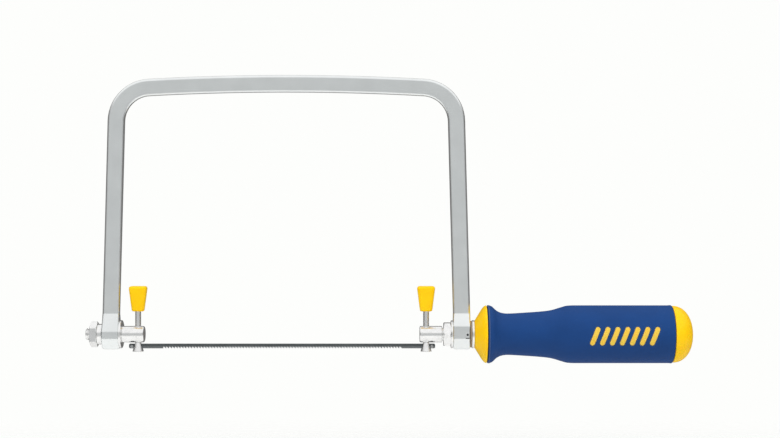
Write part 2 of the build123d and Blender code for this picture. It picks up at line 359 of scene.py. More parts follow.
@dataclass(frozen=True)
class Moulding(Finish):
    """Semi-gloss injection-moulded plastic."""

    deep: Colour = (0.9, 0.45, 0.0)

    def paint(self, graph: Graph) -> dict[str, Signal]:
        """Vary the colour with the flow of the melt, scuff it here and there, and paint a pale
        highlight along the edges.

        Args:
            graph: The material's graph.

        Returns:
            The values, by the shader's socket.
        """
        flow = graph.noise(graph.position((0.5, 1.0, 1.0)), 0.12, 3.0)
        peel = graph.noise(graph.position(), 1.6, 2.0)
        scuff = graph.noise(graph.position((3.0, 1.0, 0.5)), 0.9, 6.0, 0.7).rise(0.62, 0.74)
        edge = graph.edges(0.5)
        body = graph.blend(self.colour, self.deep, flow.rise(0.35, 0.8) * 0.35)
        # Painted highlight: the edges are blended toward this pale tint, standing in for a gloss
        # reflection; the small scuff share on top is real wear.
        pale = tuple(c + (0.85 - c) * 0.45 for c in self.colour)
        return {
            "Base Color": graph.blend(body, pale, edge.rise(0.15, 0.7) * 0.6 + scuff * 0.06),
            "Roughness": 0.34 + peel * 0.08 + scuff * 0.16 + edge * 0.08,
            "Normal": graph.bump(peel * 0.8 - scuff * 0.4, 0.010),
        }


@dataclass(frozen=True)
class Overmould(Finish):
    """Matt rubber with the fine grain of a spark-eroded mould."""

    def paint(self, graph: Graph) -> dict[str, Signal]:
        """Grain the rubber, cloud it and leave a little dust in the grain.

        Args:
            graph: The material's graph.

        Returns:
            The values, by the shader's socket.
        """
        grain = graph.noise(graph.position(), 3.2, 3.0, 0.6)
        cell = graph.speckle(graph.position(), 2.4, 0.75)
        cloud = graph.noise(graph.position((0.6, 1.0, 1.0)), 0.07, 3.0)
        dust = graph.speckle(graph.position(), 0.45, 0.10) * cloud.rise(0.4, 0.7)
        edge = graph.edges(0.6)
        deep = tuple(c * 0.82 for c in self.colour)
        rubber = graph.blend(deep, self.colour, (cloud * 0.7 + grain * 0.3).rise(0.25, 0.75))
        worn = tuple(c + (1.0 - c) * 0.12 for c in self.colour)
        return {
            "Base Color": graph.blend(rubber, worn, edge * 0.5 + dust * 0.35),
            "Roughness": 0.52 + grain * 0.16 + cloud * 0.08 - edge * 0.08,
            "Normal": graph.bump(grain * 0.6 + cell * 0.4, 0.035),
        }


@dataclass(frozen=True)
class Fibre(Finish):
    """Pressed fibre board, as in a friction washer."""

    def paint(self, graph: Graph) -> dict[str, Signal]:
        """Felt the surface with short fibres and darken where oil has soaked in.

        Args:
            graph: The material's graph.

        Returns:
            The values, by the shader's socket.
        """
        strands = graph.noise(graph.position((6.0, 1.0, 1.0)), 1.8, 6.0, 0.75)
        oil = graph.noise(graph.position(), 0.3, 3.0).rise(0.4, 0.7)
        dark = tuple(c * 0.6 for c in self.colour)
        felt = graph.blend(dark, self.colour, strands.rise(0.3, 0.65))
        return {
            "Base Color": graph.blend(felt, dark, oil * 0.4),
            "Roughness": 0.86 - oil * 0.2,
            "Normal": graph.bump(strands, 0.05),
        }


@dataclass(frozen=True)
class BladeSteel(Finish):
    """Dark hardened steel strip, ground bright along the teeth."""

    tooth_z: float = -7.0

    def paint(self, graph: Graph) -> dict[str, Signal]:
        """Streak the strip along its length and lighten the ground teeth.

        Args:
            graph: The material's graph.

        Returns:
            The values, by the shader's socket.
        """
        rolled = graph.noise(graph.position((0.05, 3.0, 4.0)), 1.0, 5.0, 0.65)
        cloud = graph.noise(graph.position((0.3, 1.0, 1.0)), 0.3, 3.0)
        height = graph.node("ShaderNodeSeparateXYZ", None, {0: graph.position()}, output=2)
        ground = 1.0 - height.rise(self.tooth_z - 0.25, self.tooth_z + 0.35)
        dark = tuple(c * 0.6 for c in self.colour)
        strip = graph.blend(dark, self.colour, (rolled * 0.6 + cloud * 0.4).rise(0.3, 0.7))
        return {
            "Base Color": graph.blend(strip, (0.42, 0.43, 0.44), ground * 0.35),
            "Roughness": 0.34 + rolled * 0.16 - ground * 0.06,
            "Normal": graph.bump(rolled, 0.008),
        }


@dataclass(frozen=True)
class Enamel(Finish):
    """Black paint left in a punched mark."""

    def paint(self, graph: Graph) -> dict[str, Signal]:
        """Crack and dull the paint a little.

        Args:
            graph: The material's graph.

        Returns:
            The values, by the shader's socket.
        """
        crumbs = graph.noise(graph.position(), 4.0, 4.0, 0.6)
        grey = tuple(c * 3.0 for c in self.colour)
        return {
            "Base Color": graph.blend(self.colour, grey, crumbs.rise(0.5, 0.8)),
            "Roughness": 0.45 + crumbs * 0.3,
            "Normal": graph.bump(crumbs, 0.02),
        }


METAL: dict[str, Value] = {"Metallic": 1.0}
PLASTIC: dict[str, Value] = {
    "Subsurface Weight": 0.1,
    "Subsurface Scale": 0.001,
    "Specular IOR Level": 0.2,
}
RUBBER: dict[str, Value] = {"IOR": 1.45, "Specular IOR Level": 0.2}

YELLOW = (0.98, 0.60, 0.001)
BLUE = (0.0082, 0.052, 0.200)
BRIGHT = TurnedPlate("bright_turned_x", (0.93, 0.93, 0.925), METAL)


# ---------------------------------------------------------------------------
# Mesh tools
# ---------------------------------------------------------------------------


def rounded(corners: Sequence[Place], steps: int = 4) -> list[Point]:
    """Round the corners of an open outline.

    Args:
        corners: Each corner's two coordinates and how far its rounding reaches.
        steps: Segments in each rounding.

    Returns:
        The outline's points.
    """
    outline: list[Point] = []
    for i, (u, v, reach) in enumerate(corners):
        if reach <= 0 or i in (0, len(corners) - 1):
            outline.append((u, v))
            continue
        here = Vector((u, v))
        back = Vector(corners[i - 1][:2]) - here
        ahead = Vector(corners[i + 1][:2]) - here
        start = here + back.normalized() * min(reach, back.length / 2)
        end = here + ahead.normalized() * min(reach, ahead.length / 2)
        for k in range(steps + 1):
            t = k / steps
            point = start.lerp(here, t).lerp(here.lerp(end, t), t)
            outline.append((point.x, point.y))
    return outline


def rounded_rectangle(width: float, depth: float, radius: float, steps: int = 5) -> list[Point]:
    """Outline a rectangle with round corners, centred on the origin, counter-clockwise.

    Args:
        width: Its first size.
        depth: Its second size.
        radius: The corners' radius.
        steps: Segments in each corner.

    Returns:
        The outline's points.
    """
    points: list[Point] = []
    for turn, (sx, sy) in enumerate(((1, 1), (-1, 1), (-1, -1), (1, -1))):
        for k in range(steps + 1):
            angle = math.radians(90 * turn + 90 * k / steps)
            points.append((
                sx * (width / 2 - radius) + radius * math.cos(angle),
                sy * (depth / 2 - radius) + radius * math.sin(angle),
            ))
    return points


def enter(name: str, shape: bmesh.types.BMesh) -> bpy.types.Object:
    """Put a new shape into the scene as a piece.

    Args:
        name: The piece's name.
        shape: The shape in metres, which is used up.

    Returns:
        The new object.
    """
    bmesh.ops.recalc_face_normals(shape, faces=shape.faces)
    mesh = bpy.data.meshes.new(name)
    shape.to_mesh(mesh)
    shape.free()
    piece = bpy.data.objects.new(name, mesh)
    bpy.context.scene.collection.objects.link(piece)
    return piece


def sew(shape: bmesh.types.BMesh, rings: Sequence[Sequence[Vector]], hollow: bool = False) -> None:
    """Join rings of points into a closed skin.

    Args:
        shape: The shape that the skin joins.
        rings: Rings of equal length in millimetres; a ring of one point is a pole.
        hollow: Whether the last ring joins the first one, as in a sleeve.
    """
    loops = [[shape.verts.new(p * MM) for p in ring] for ring in rings]
    if hollow:
        loops.append(loops[0])
    for low, high in zip(loops, loops[1:]):
        for i in range(max(len(low), len(high))):
            a = [low[k % len(low)] for k in (i, i + 1)]
            b = [high[k % len(high)] for k in (i + 1, i)]
            shape.faces.new(dict.fromkeys(a + b))
    for end in (loops[0], loops[-1]):
        if len(end) > 1 and not hollow:
            shape.faces.new(end)


def skin(name: str, rings: Sequence[Sequence[Vector]], hollow: bool = False) -> bpy.types.Object:
    """Join rings of points into a piece.

    Args:
        name: The piece's name.
        rings: Rings of equal length in millimetres; a ring of one point is a pole.
        hollow: Whether the last ring joins the first one, as in a sleeve.

    Returns:
        The new object.
    """
    shape = bmesh.new()
    sew(shape, rings, hollow)
    return enter(name, shape)


def lathe(
    name: str,
    profile: Sequence[Point],
    along: Along = Along.X,
    centre: Place = (0.0, 0.0, 0.0),
    segments: int = 96,
    sink: Callable[[float, float], float] | None = None,
    hollow: bool = False,
) -> bpy.types.Object:
    """Turn a profile about an axis.

    Args:
        name: The piece's name.
        profile: Places along the axis and radii; a radius of 0 closes that end.
        along: The axis.
        centre: A point on the axis.
        segments: Steps round the axis.
        sink: Gives how far the surface sinks at a place and an angle, as for a thread.
        hollow: Whether the profile is a loop, whose last point joins its first.

    Returns:
        The new object.
    """
    rings: list[list[Vector]] = []
    for place, radius in profile:
        ring = []
        for i in range(segments if radius > 1e-6 else 1):
            angle = math.tau * i / segments
            reach = radius - (sink(place, angle) if sink and radius > 1e-6 else 0.0)
            u, v = reach * math.cos(angle), reach * math.sin(angle)
            spot = (place, u, v) if along is Along.X else (u, v, place)
            ring.append(Vector(centre) + Vector(spot))
        rings.append(ring)
    return skin(name, rings, hollow)


def settle(piece: bpy.types.Object) -> None:
    """Apply a piece's modifiers to its mesh.

    Args:
        piece: The piece.
    """
    graph = bpy.context.evaluated_depsgraph_get()
    done = bpy.data.meshes.new_from_object(piece.evaluated_get(graph))
    piece.modifiers.clear()
    piece.data = done


def carve(piece: bpy.types.Object, cutter: bpy.types.Object, how: str = "DIFFERENCE") -> None:
    """Cut one mesh with another, and remove the cutter.

    Args:
        piece: The piece to cut.
        cutter: The shape that cuts it.
        how: Blender's name for the cut.
    """
    modifier = piece.modifiers.new("carve", "BOOLEAN")
    modifier.operation = how
    modifier.solver = "EXACT"
    modifier.object = cutter
    settle(piece)
    bpy.data.objects.remove(cutter)


def shade(piece: bpy.types.Object, angle: float = 32.0) -> None:
    """Shade a piece smooth, with its flats kept flat.

    Args:
        piece: The piece.
        angle: The turn between two faces, in degrees, from which their edge is a crease.
    """
    shape = bmesh.new()
    shape.from_mesh(piece.data)
    limit = math.radians(angle)
    for face in shape.faces:
        face.smooth = True
    for edge in shape.edges:
        edge.smooth = len(edge.link_faces) == 2 and edge.calc_face_angle(0.0) < limit
    shape.to_mesh(piece.data)
    shape.free()
    modifier = piece.modifiers.new("flats", "WEIGHTED_NORMAL")
    modifier.keep_sharp = True
    settle(piece)


def prism(name: str, outline: Sequence[Point], front: float, back: float) -> bpy.types.Object:
    """Stretch an outline in X and Z along Y, between two places in millimetres."""
    return skin(name, [[Vector((u, y, v)) for u, v in outline] for y in (front, back)])


def adopt(piece: bpy.types.Object, body: str, slot: str, finish: Finish, *nodes: str) -> None:
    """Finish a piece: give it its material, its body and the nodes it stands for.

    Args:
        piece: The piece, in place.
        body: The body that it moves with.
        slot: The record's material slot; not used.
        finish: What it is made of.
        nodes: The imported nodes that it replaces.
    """
    piece.data.materials.clear()
    piece.data.materials.append(finish.material())
    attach(piece, body)
    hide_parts(*nodes)
    log.info("%s: %d faces, on %s, for %s", piece.name, len(piece.data.polygons), body, nodes)


def dress(node: str, finish: Finish) -> None:
    """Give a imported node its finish.

    Args:
        node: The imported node, which keeps its shape.
        finish: What it is made of.
    """
    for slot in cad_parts[node].material_slots:
        slot.material = finish.material()
    log.info("%s: dressed as %s", node, finish.name)


def span(node: str, axis: int = 0) -> Point:
    """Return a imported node's lowest and highest place along an axis, in millimetres."""
    low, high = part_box(node)
    return low[axis] / MM, high[axis] / MM


# ---------------------------------------------------------------------------
# Bow
# ---------------------------------------------------------------------------


@dataclass
class Boss:
    """The forged lump at the foot of one leg of the bow."""

    left: float
    right: float
    shoulder_z: float
    thickness: float = 10.6
    neck_z: float = 11.6
    waist_z: float = -2.4
    foot_z: float = -8.2
    foot_thickness: float = 4.6
    foot_round: float = 1.3
    edge: float = 0.7
    run_out: float = 0.35

    @property
    def middle(self) -> float:
        """Return where the middle of the leg is along X."""
        return (self.left + self.right) / 2

    def sections(self, neck_thickness: float, neck_edge: float) -> list[list[Vector]]:
        """Return the level sections from the foot up to the neck.

        Args:
            neck_thickness: The bar's thickness where the boss runs out into it.
            neck_edge: The bar's edge radius there.

        Returns:
            Rings in millimetres, from the foot to the neck.
        """
        side = rounded([
            (self.foot_z, self.foot_thickness, 0.0),
            (self.waist_z, self.thickness, 0.5),
            (self.shoulder_z, self.thickness, 0.7),
            (self.neck_z, neck_thickness, self.run_out),
            (self.neck_z + 1.0, neck_thickness, 0.0),
        ])
        steps = 6
        bottom = [
            self.foot_z + self.foot_round * (1 - math.cos(math.radians(90 * k / steps)))
            for k in range(steps + 1)
        ]
        rings = []
        top = self.neck_z + self.run_out - 0.01
        for z in sorted({*bottom, *(p[0] for p in side if bottom[-1] < p[0] < top)}):
            low = max(p for p in side if p[0] <= z)
            high = min(p for p in side if p[0] >= z)
            share = (z - low[0]) / (high[0] - low[0]) if high[0] > low[0] else 0.0
            lift = max(0.0, 1 - (z - self.foot_z) / self.foot_round)
            shrink = self.foot_round * (1 - math.sqrt(1 - lift * lift))
            width = self.right - self.left - 2 * shrink
            depth = low[1] + (high[1] - low[1]) * share - shrink
            blend = min(1.0, max(0.0, (z - self.shoulder_z) / (self.neck_z - self.shoulder_z)))
            edge = self.edge + (neck_edge - self.edge) * blend
            outline = rounded_rectangle(width, depth, edge)
            rings.append([Vector((self.middle - u, v, z)) for u, v in outline])
        return rings


@dataclass
class Bow:
    """The frame: one bar bent at two corners, with a boss at the foot of each leg."""

    bar_width: float = 9.5
    bar_thickness: float = 4.4
    edge: float = 1.6
    corner_radius: float = 19.0
    arch_radius: float = 1400.0
    splay: float = 1.5
    bore_radius: float = 3.255
    mark_inset: float = 1.6
    mark_depth: float = 0.25
    dot_radius: float = 0.62
    line_z: float = -1.9
    line_size: Point = (2.1, 0.5)

    def bosses(self) -> tuple[Boss, Boss]:
        """Fit the bosses between the washers that bear on them.

        Returns:
            The toe's boss and the heel's.
        """
        toe = Boss(span("toe_spacer")[1], span("toe_inner_washer")[0], 1.4)
        heel = Boss(span("heel_inner_washer")[1], span("heel_friction_washer")[0], 4.6)
        return toe, heel

    def course(self, toe: Boss, heel: Boss) -> list[tuple[Vector, float]]:
        """Return the bar's centre line above the bosses.

        Args:
            toe: The boss that it rises from.
            heel: The boss that it comes down to.

        Returns:
            Points in millimetres and the heading at each, in radians from +X.
        """
        top = span("frame", 2)[1] - self.bar_width / 2
        splay = math.radians(self.splay)
        half = (heel.middle - toe.middle) / 2
        drop = top - toe.neck_z - self.arch_radius
        reach = half * math.cos(splay) - self.corner_radius - drop * math.sin(splay)
        arch = math.asin(reach / (self.arch_radius - self.corner_radius)) - splay
        middle = Vector(((toe.middle + heel.middle) / 2, 0.0, top))
        right: list[tuple[Vector, float]] = []
        steps = 14
        for k in range(steps + 1):
            turn = arch * k / steps
            right.append((self.arc(middle, 0.0, self.arch_radius, turn), -turn))
        bend, heading = right[-1]
        full = math.pi / 2 - splay - arch
        for k in range(1, steps + 1):
            turn = full * k / steps
            right.append((self.arc(bend, heading, self.corner_radius, turn), heading - turn))
        start = right[-1][0]
        lift = heel.run_out
        foot = Vector((heel.middle - lift * math.tan(splay), 0.0, heel.neck_z + lift))
        legs = 12
        right += [(start.lerp(foot, k / legs), splay - math.pi / 2) for k in range(1, legs + 1)]
        left = [(Vector((2 * middle.x - p.x, 0.0, p.z)), -h) for p, h in reversed(right[1:])]
        return left + right

    @staticmethod
    def arc(start: Vector, heading: float, radius: float, turn: float) -> Vector:
        """Follow a right-hand bend.

        Args:
            start: Where it starts.
            heading: Its heading there, in radians from +X.
            radius: The bend's radius.
            turn: How far it turns, in radians.

        Returns:
            Where it gets to.
        """
        centre = start + Vector((math.sin(heading), 0.0, -math.cos(heading))) * radius
        after = heading - turn
        return centre - Vector((math.sin(after), 0.0, -math.cos(after))) * radius

    def build(self) -> None:
        """Sweep the bar, forge the bosses onto it, bore them and dress the bow."""
        toe, heel = self.bosses()
        outline = rounded_rectangle(self.bar_width, self.bar_thickness, self.edge)
        rings = toe.sections(self.bar_thickness, self.edge)
        for centre, heading in self.course(toe, heel):
            out = Vector((-math.sin(heading), 0.0, math.cos(heading)))
            rings.append([centre + out * u + Vector((0.0, v, 0.0)) for u, v in outline])
        for ring in reversed(heel.sections(self.bar_thickness, self.edge)):
            rings.append([Vector((2 * heel.middle - p.x, p.y, p.z)) for p in ring])
        bow = skin("bow", rings)
        self.lay_grain(bow, rings)
        for boss in (toe, heel):
            bore = [(boss.left - 2, 0.0), (boss.left - 2, self.bore_radius)]
            bore += [(boss.right + 2, self.bore_radius), (boss.right + 2, 0.0)]
            carve(bow, lathe("bore", bore, segments=64))
        self.mark(bow, heel)
        shade(bow, 28.0)
        finish = SatinPlate("satin_plate", (0.86, 0.885, 0.885), METAL)
        adopt(bow, "frame", "bow_steel", finish, "frame")

    def lay_grain(self, bow: bpy.types.Object, rings: list[list[Vector]]) -> None:
        """Store each point's place along, across and through the bar on the mesh.

        Args:
            bow: The bow, before anything is cut from it.
            rings: The sections that it was swept through.
        """
        grain = bow.data.attributes.new("grain", "FLOAT_VECTOR", "POINT")
        run, last, i = 0.0, rings[0][0], 0
        for ring in rings:
            middle = sum(ring, Vector()) / len(ring)
            run += (middle - last).length
            last = middle
            for point in ring:
                away = point - middle
                side = math.copysign(Vector((away.x, away.z)).length, away.x + away.z)
                grain.data[i].vector = (run, side, away.y)
                i += 1

    def mark(self, bow: bpy.types.Object, heel: Boss) -> None:
        """Punch the index dot and line into the heel boss and fill them black.

        Args:
            bow: The bow.
            heel: The boss that carries them on its front.
        """
        x, face = heel.right - self.mark_inset, -heel.thickness / 2
        turns = [math.tau * k / 24 for k in range(24)]
        dot = [(x + self.dot_radius * math.cos(a), self.dot_radius * math.sin(a)) for a in turns]
        line = [(x + u, v + self.line_z) for u, v in rounded_rectangle(*self.line_size, 0.2)]
        for name, outline in (("index_dot", dot), ("index_line", line)):
            carve(bow, prism("punch", outline, face - 1, face + self.mark_depth))
            fill = prism(name, outline, face + self.mark_depth * 0.4, face + self.mark_depth)
            adopt(fill, "frame", "bow_steel", Enamel("black_enamel", (0.012, 0.012, 0.013)))


# ---------------------------------------------------------------------------
# Spigots and levers
# ---------------------------------------------------------------------------


class End(Enum):
    """The two ends of the blade; the value is the way from the blade to the boss."""

    TOE = -1
    HEEL = 1

    @property
    def word(self) -> str:
        """Return the end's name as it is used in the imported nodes."""
        return self.name.lower()

    @property
    def body(self) -> str:
        """Return the body that this end's lever rides on."""
        return f"{self.word}_lever"


@dataclass
class Lever:
    """One spigot with its barrel, the rod through it and the cap on the rod."""

    end: End
    barrel_radius: float = 4.5
    shank_radius: float = 3.175
    pitch: float = 1.27
    thread_depth: float = 0.62
    rod_radius: float = 1.6
    foot_radius: float = 3.15
    collar_radius: float = 3.5
    drill_reach: float = 8.0
    drill_gap: float = 0.07
    slot_width: float = 0.9
    slot_top: float = -4.9
    cap_bottom: Point = (6.7, 5.2)
    cap_top: Point = (10.2, 7.0)
    cap_rounds: Point = (1.5, 0.9)
    cap_corner: float = 2.1
    recess_size: float = 4.1
    recess_corner: float = 2.04
    recess_depth: float = 1.4

    def __post_init__(self) -> None:
        """Measure where the rod stands along X."""
        self.stud_x = sum(span(f"{self.end.word}_lever_cap")) / 2

    def build(self) -> None:
        """Build the spigot, the rod and the cap."""
        self.build_spigot()
        self.build_rod()
        self.build_cap()

    def thread(self, first: float, last: float) -> Callable[[float, float], float]:
        """Describe a thread.

        Args:
            first: Where it starts along the axis.
            last: Where it ends.

        Returns:
            A function of a place and an angle that gives how far it sinks below its crests.
        """

        def sink(place: float, angle: float) -> float:
            """Work out how far the thread sinks.

            Args:
                place: A place along the axis.
                angle: An angle about it.

            Returns:
                The depth below the crests.
            """
            if not first <= place <= last:
                return 0.0
            phase = (place / self.pitch - angle / math.tau) % 1.0
            flank = 1.0 - abs(2.0 * phase - 1.0)
            ease = min(1.0, (place - first) / self.pitch, (last - place) / self.pitch)
            return self.thread_depth * max(0.0, min(1.0, 1.25 * flank - 0.15)) * ease

        return sink

    def crests(self, first: float, last: float, per_turn: int) -> list[Point]:
        """Divide a threaded stretch of the profile finely.

        Args:
            first: Where it starts along the axis.
            last: Where it ends.
            per_turn: Steps in one pitch.

        Returns:
            The stretch's points, without the first.
        """
        steps = int((last - first) / self.pitch * per_turn)
        return [(first + (last - first) * k / steps, self.shank_radius) for k in range(1, steps + 1)]

    def toe_profile(self, low: float, high: float) -> tuple[list[Point], Point]:
        """Draw the toe's spigot, from its threaded end to its barrel.

        Args:
            low: Its lowest place along X.
            high: Its highest.

        Returns:
            The profile, and where the thread starts and ends.
        """
        shank, barrel = self.shank_radius, self.barrel_radius
        face, last = span("toe_inner_washer")[1], span("toe_nut")[1]
        start = low + 0.6
        profile = rounded([
            (low + 1.3, 0, 0), (low, 1.05, 0.1), (low, 2.8, 0.1), (low + 0.45, shank, 0.1),
            (start, shank, 0),
        ])
        profile += self.crests(start, last, 14)
        profile += rounded([
            (last + 0.1, shank, 0), (face, shank, 0.1), (face, barrel, 0.3), (high, barrel, 0.95),
            (high, 0, 0),
        ])
        return profile, (low + 0.2, last)

    def heel_profile(self, low: float, high: float) -> tuple[list[Point], Point]:
        """Draw the heel's spigot, from its barrel to the end of its thread in the handle.

        Args:
            low: Its lowest place along X.
            high: Its highest.

        Returns:
            The profile, and where the thread starts and ends.
        """
        shank, barrel, collar = self.shank_radius, self.barrel_radius, self.collar_radius
        nut = span("heel_nut")[0]
        neck = nut - 0.8
        first, last = span("handle_core")[0] + 0.5, high - 0.3
        profile = rounded([
            (low, 0, 0), (low, barrel, 0.8), (neck, barrel, 0.5), (neck, collar, 0.2),
            (nut, collar, 0.1), (nut, shank, 0.1), (first, shank, 0),
        ])
        profile += self.crests(first, last, 10)
        profile += rounded([(last, shank, 0), (high, 2.9, 0.1), (high, 0, 0)])
        return profile, (first, last)

    def build_spigot(self) -> None:
        """Turn the spigot, cut its thread and drill the barrel for the rod."""
        name = f"{self.end.word}_spigot"
        draw = self.toe_profile if self.end is End.TOE else self.heel_profile
        profile, (first, last) = draw(*span(name))
        spigot = lathe(name + "_turned", profile, sink=self.thread(first, last))
        reach, radius = self.drill_reach, self.rod_radius + self.drill_gap
        hole = [(-reach, 0), (-reach, radius), (reach, radius), (reach, 0)]
        carve(spigot, lathe("drill", hole, Along.Z, (self.stud_x, 0, 0), 48))
        shade(spigot)
        adopt(spigot, self.end.body, "bright_steel", BRIGHT, name)

    def build_rod(self) -> None:
        """Turn the rod with its cone and saw the blade's slot into the cone."""
        name = f"{self.end.word}_lever_pin"
        low, high = span(name, 2)
        profile = rounded([
            (low, 0, 0), (low, self.foot_radius, 0.55), (-self.barrel_radius, self.rod_radius, 0.3),
            (high, self.rod_radius, 0.3), (high, 0, 0),
        ], 6)
        rod = lathe(name + "_turned", profile, Along.Z, (self.stud_x, 0, 0), 72)
        half, bottom = self.slot_width / 2, low - 1
        left, right = (self.stud_x + side * (self.foot_radius + 1) for side in (-1, 1))
        slot = [(left, bottom), (right, bottom), (right, self.slot_top), (left, self.slot_top)]
        carve(rod, prism("saw", slot, -half, half))
        shade(rod)
        place = (self.stud_x, 0, 0)
        plate = (0.90, 0.90, 0.895)
        finish = TurnedPlate(f"bright_rod_{self.end.word}", plate, METAL, Along.Z, place, 0.17)
        adopt(rod, self.end.body, "bright_steel", finish, name)

    def build_cap(self) -> None:
        """Mould the cap, with a crowned top and a recess round the rod."""
        name = f"{self.end.word}_lever_cap"
        low, high = span(name, 2)
        crown, foot = self.cap_rounds

        def ring(z: float, inset: float) -> list[Vector]:
            """Draw one of the cap's level sections.

            Args:
                z: Its height.
                inset: How far it is drawn in all round.

            Returns:
                The section's points.
            """
            share = (z - low) / (high - low)
            width, depth = (b + (t - b) * share for b, t in zip(self.cap_bottom, self.cap_top))
            corner = max(0.25, self.cap_corner - inset)
            outline = rounded_rectangle(width - 2 * inset, depth - 2 * inset, corner, 8)
            return [Vector((self.stud_x + u, v, z)) for u, v in outline]

        recess = rounded_rectangle(self.recess_size, self.recess_size, self.recess_corner, 8)
        heights = (low + self.recess_depth, low + 0.05)
        rings = [[Vector((self.stud_x + u, v, z)) for u, v in recess] for z in heights]
        turns = [math.radians(15 * k) for k in range(7)]
        rings += [ring(low + foot * (1 - math.cos(a)), foot * (1 - math.sin(a))) for a in turns]
        side = high - low - foot - crown
        rings += [ring(low + foot + side * k / 6, 0.0) for k in range(1, 7)]
        rings += [
            ring(high - crown * (1 - math.sin(a)), crown * (1 - math.cos(a))) for a in turns[1:]
        ]
        cap = skin(name + "_moulded", rings)
        shade(cap, 40.0)
        finish = Moulding("cap_moulding", YELLOW, PLASTIC)
        adopt(cap, self.end.body, "cap_plastic", finish, name)


# ---------------------------------------------------------------------------
# Blade
# ---------------------------------------------------------------------------


@dataclass
class Blade:
    """The pin-end blade, with teeth set to both sides and pointing at the handle."""

    thickness: float = 0.5
    pitch: float = 25.4 / 16
    tooth_depth: float = 0.95
    tooth_set: float = 0.13
    plain_toe: float = 18.85
    plain_heel: float = 18.05
    end_round: float = 0.5
    gullet: Point = (0.08, 0.30)
    tip_share: float = 0.93
    set_reach: float = 0.25

    def lower_edge(self, left: float, right: float, low: float) -> list[Place]:
        """Draw the blade's lower edge with its teeth.

        Args:
            left: The toe end's place along X.
            right: The heel end's.
            low: The height of the teeth's points.

        Returns:
            Each point's place along X, its height and how far the set leans it over.
        """
        first, last = left + self.plain_toe, right - self.plain_heel
        root = low + self.tooth_depth
        ends = self.end_round
        edge = [(left, low + ends, 0.0), (left + ends, low, 0.0), (first, low, 0.0)]
        for i in range(int((last - first) / self.pitch)):
            x, lean = first + i * self.pitch, (-1) ** i * self.tooth_set
            edge += [(x + self.gullet[0], root, 0.0), (x + self.gullet[1], root + 0.04, 0.0)]
            edge.append((x + self.tip_share * self.pitch, low + 0.02, lean))
            edge.append((x + self.pitch, low, lean))
        return edge + [(right - ends, low, 0.0), (right, low + ends, 0.0)]

    def build(self) -> None:
        """Cut the strip and its teeth, set them and dress the blade and its pins."""
        (left, right), (low, high) = span("blade"), span("blade", 2)
        root, half, ends = low + self.tooth_depth, self.thickness / 2, self.end_round
        edge = self.lower_edge(left, right, low)
        shape = bmesh.new()
        sides = []
        for side in (-half, half):
            rows = [
                [(x, side + lean, z) for x, z, lean in edge],
                [(x, side, root + self.set_reach) for x, _, _ in edge],
                [(x, side, high - ends * (x in (left, right))) for x, _, _ in edge],
            ]
            grid = [[shape.verts.new(Vector(place) * MM) for place in row] for row in rows]
            for under, over in zip(grid, grid[1:]):
                for i in range(len(edge) - 1):
                    shape.faces.new([under[i], under[i + 1], over[i + 1], over[i]])
            sides.append([*grid[0], grid[1][-1], *reversed(grid[2]), grid[1][0]])
        front, back = sides
        for i in range(len(front)):
            shape.faces.new([front[i - 1], back[i - 1], back[i], front[i]])
        blade = enter("toothed_blade", shape)
        shade(blade, 20.0)
        steel = BladeSteel("rolled_blade_steel", (0.15, 0.165, 0.17), METAL, root)
        adopt(blade, "blade", "blade_steel", steel, "blade")
        for end in End:
            node = f"{end.word}_blade_pin"
            x, z = sum(span(node)) / 2, sum(span(node, 2)) / 2
            pin = TurnedPlate(f"{node}_steel", (0.45, 0.46, 0.46), METAL, Along.X, (x, 0, z), 0.25)
            dress(node, pin)


# ---------------------------------------------------------------------------
# Handle
# ---------------------------------------------------------------------------


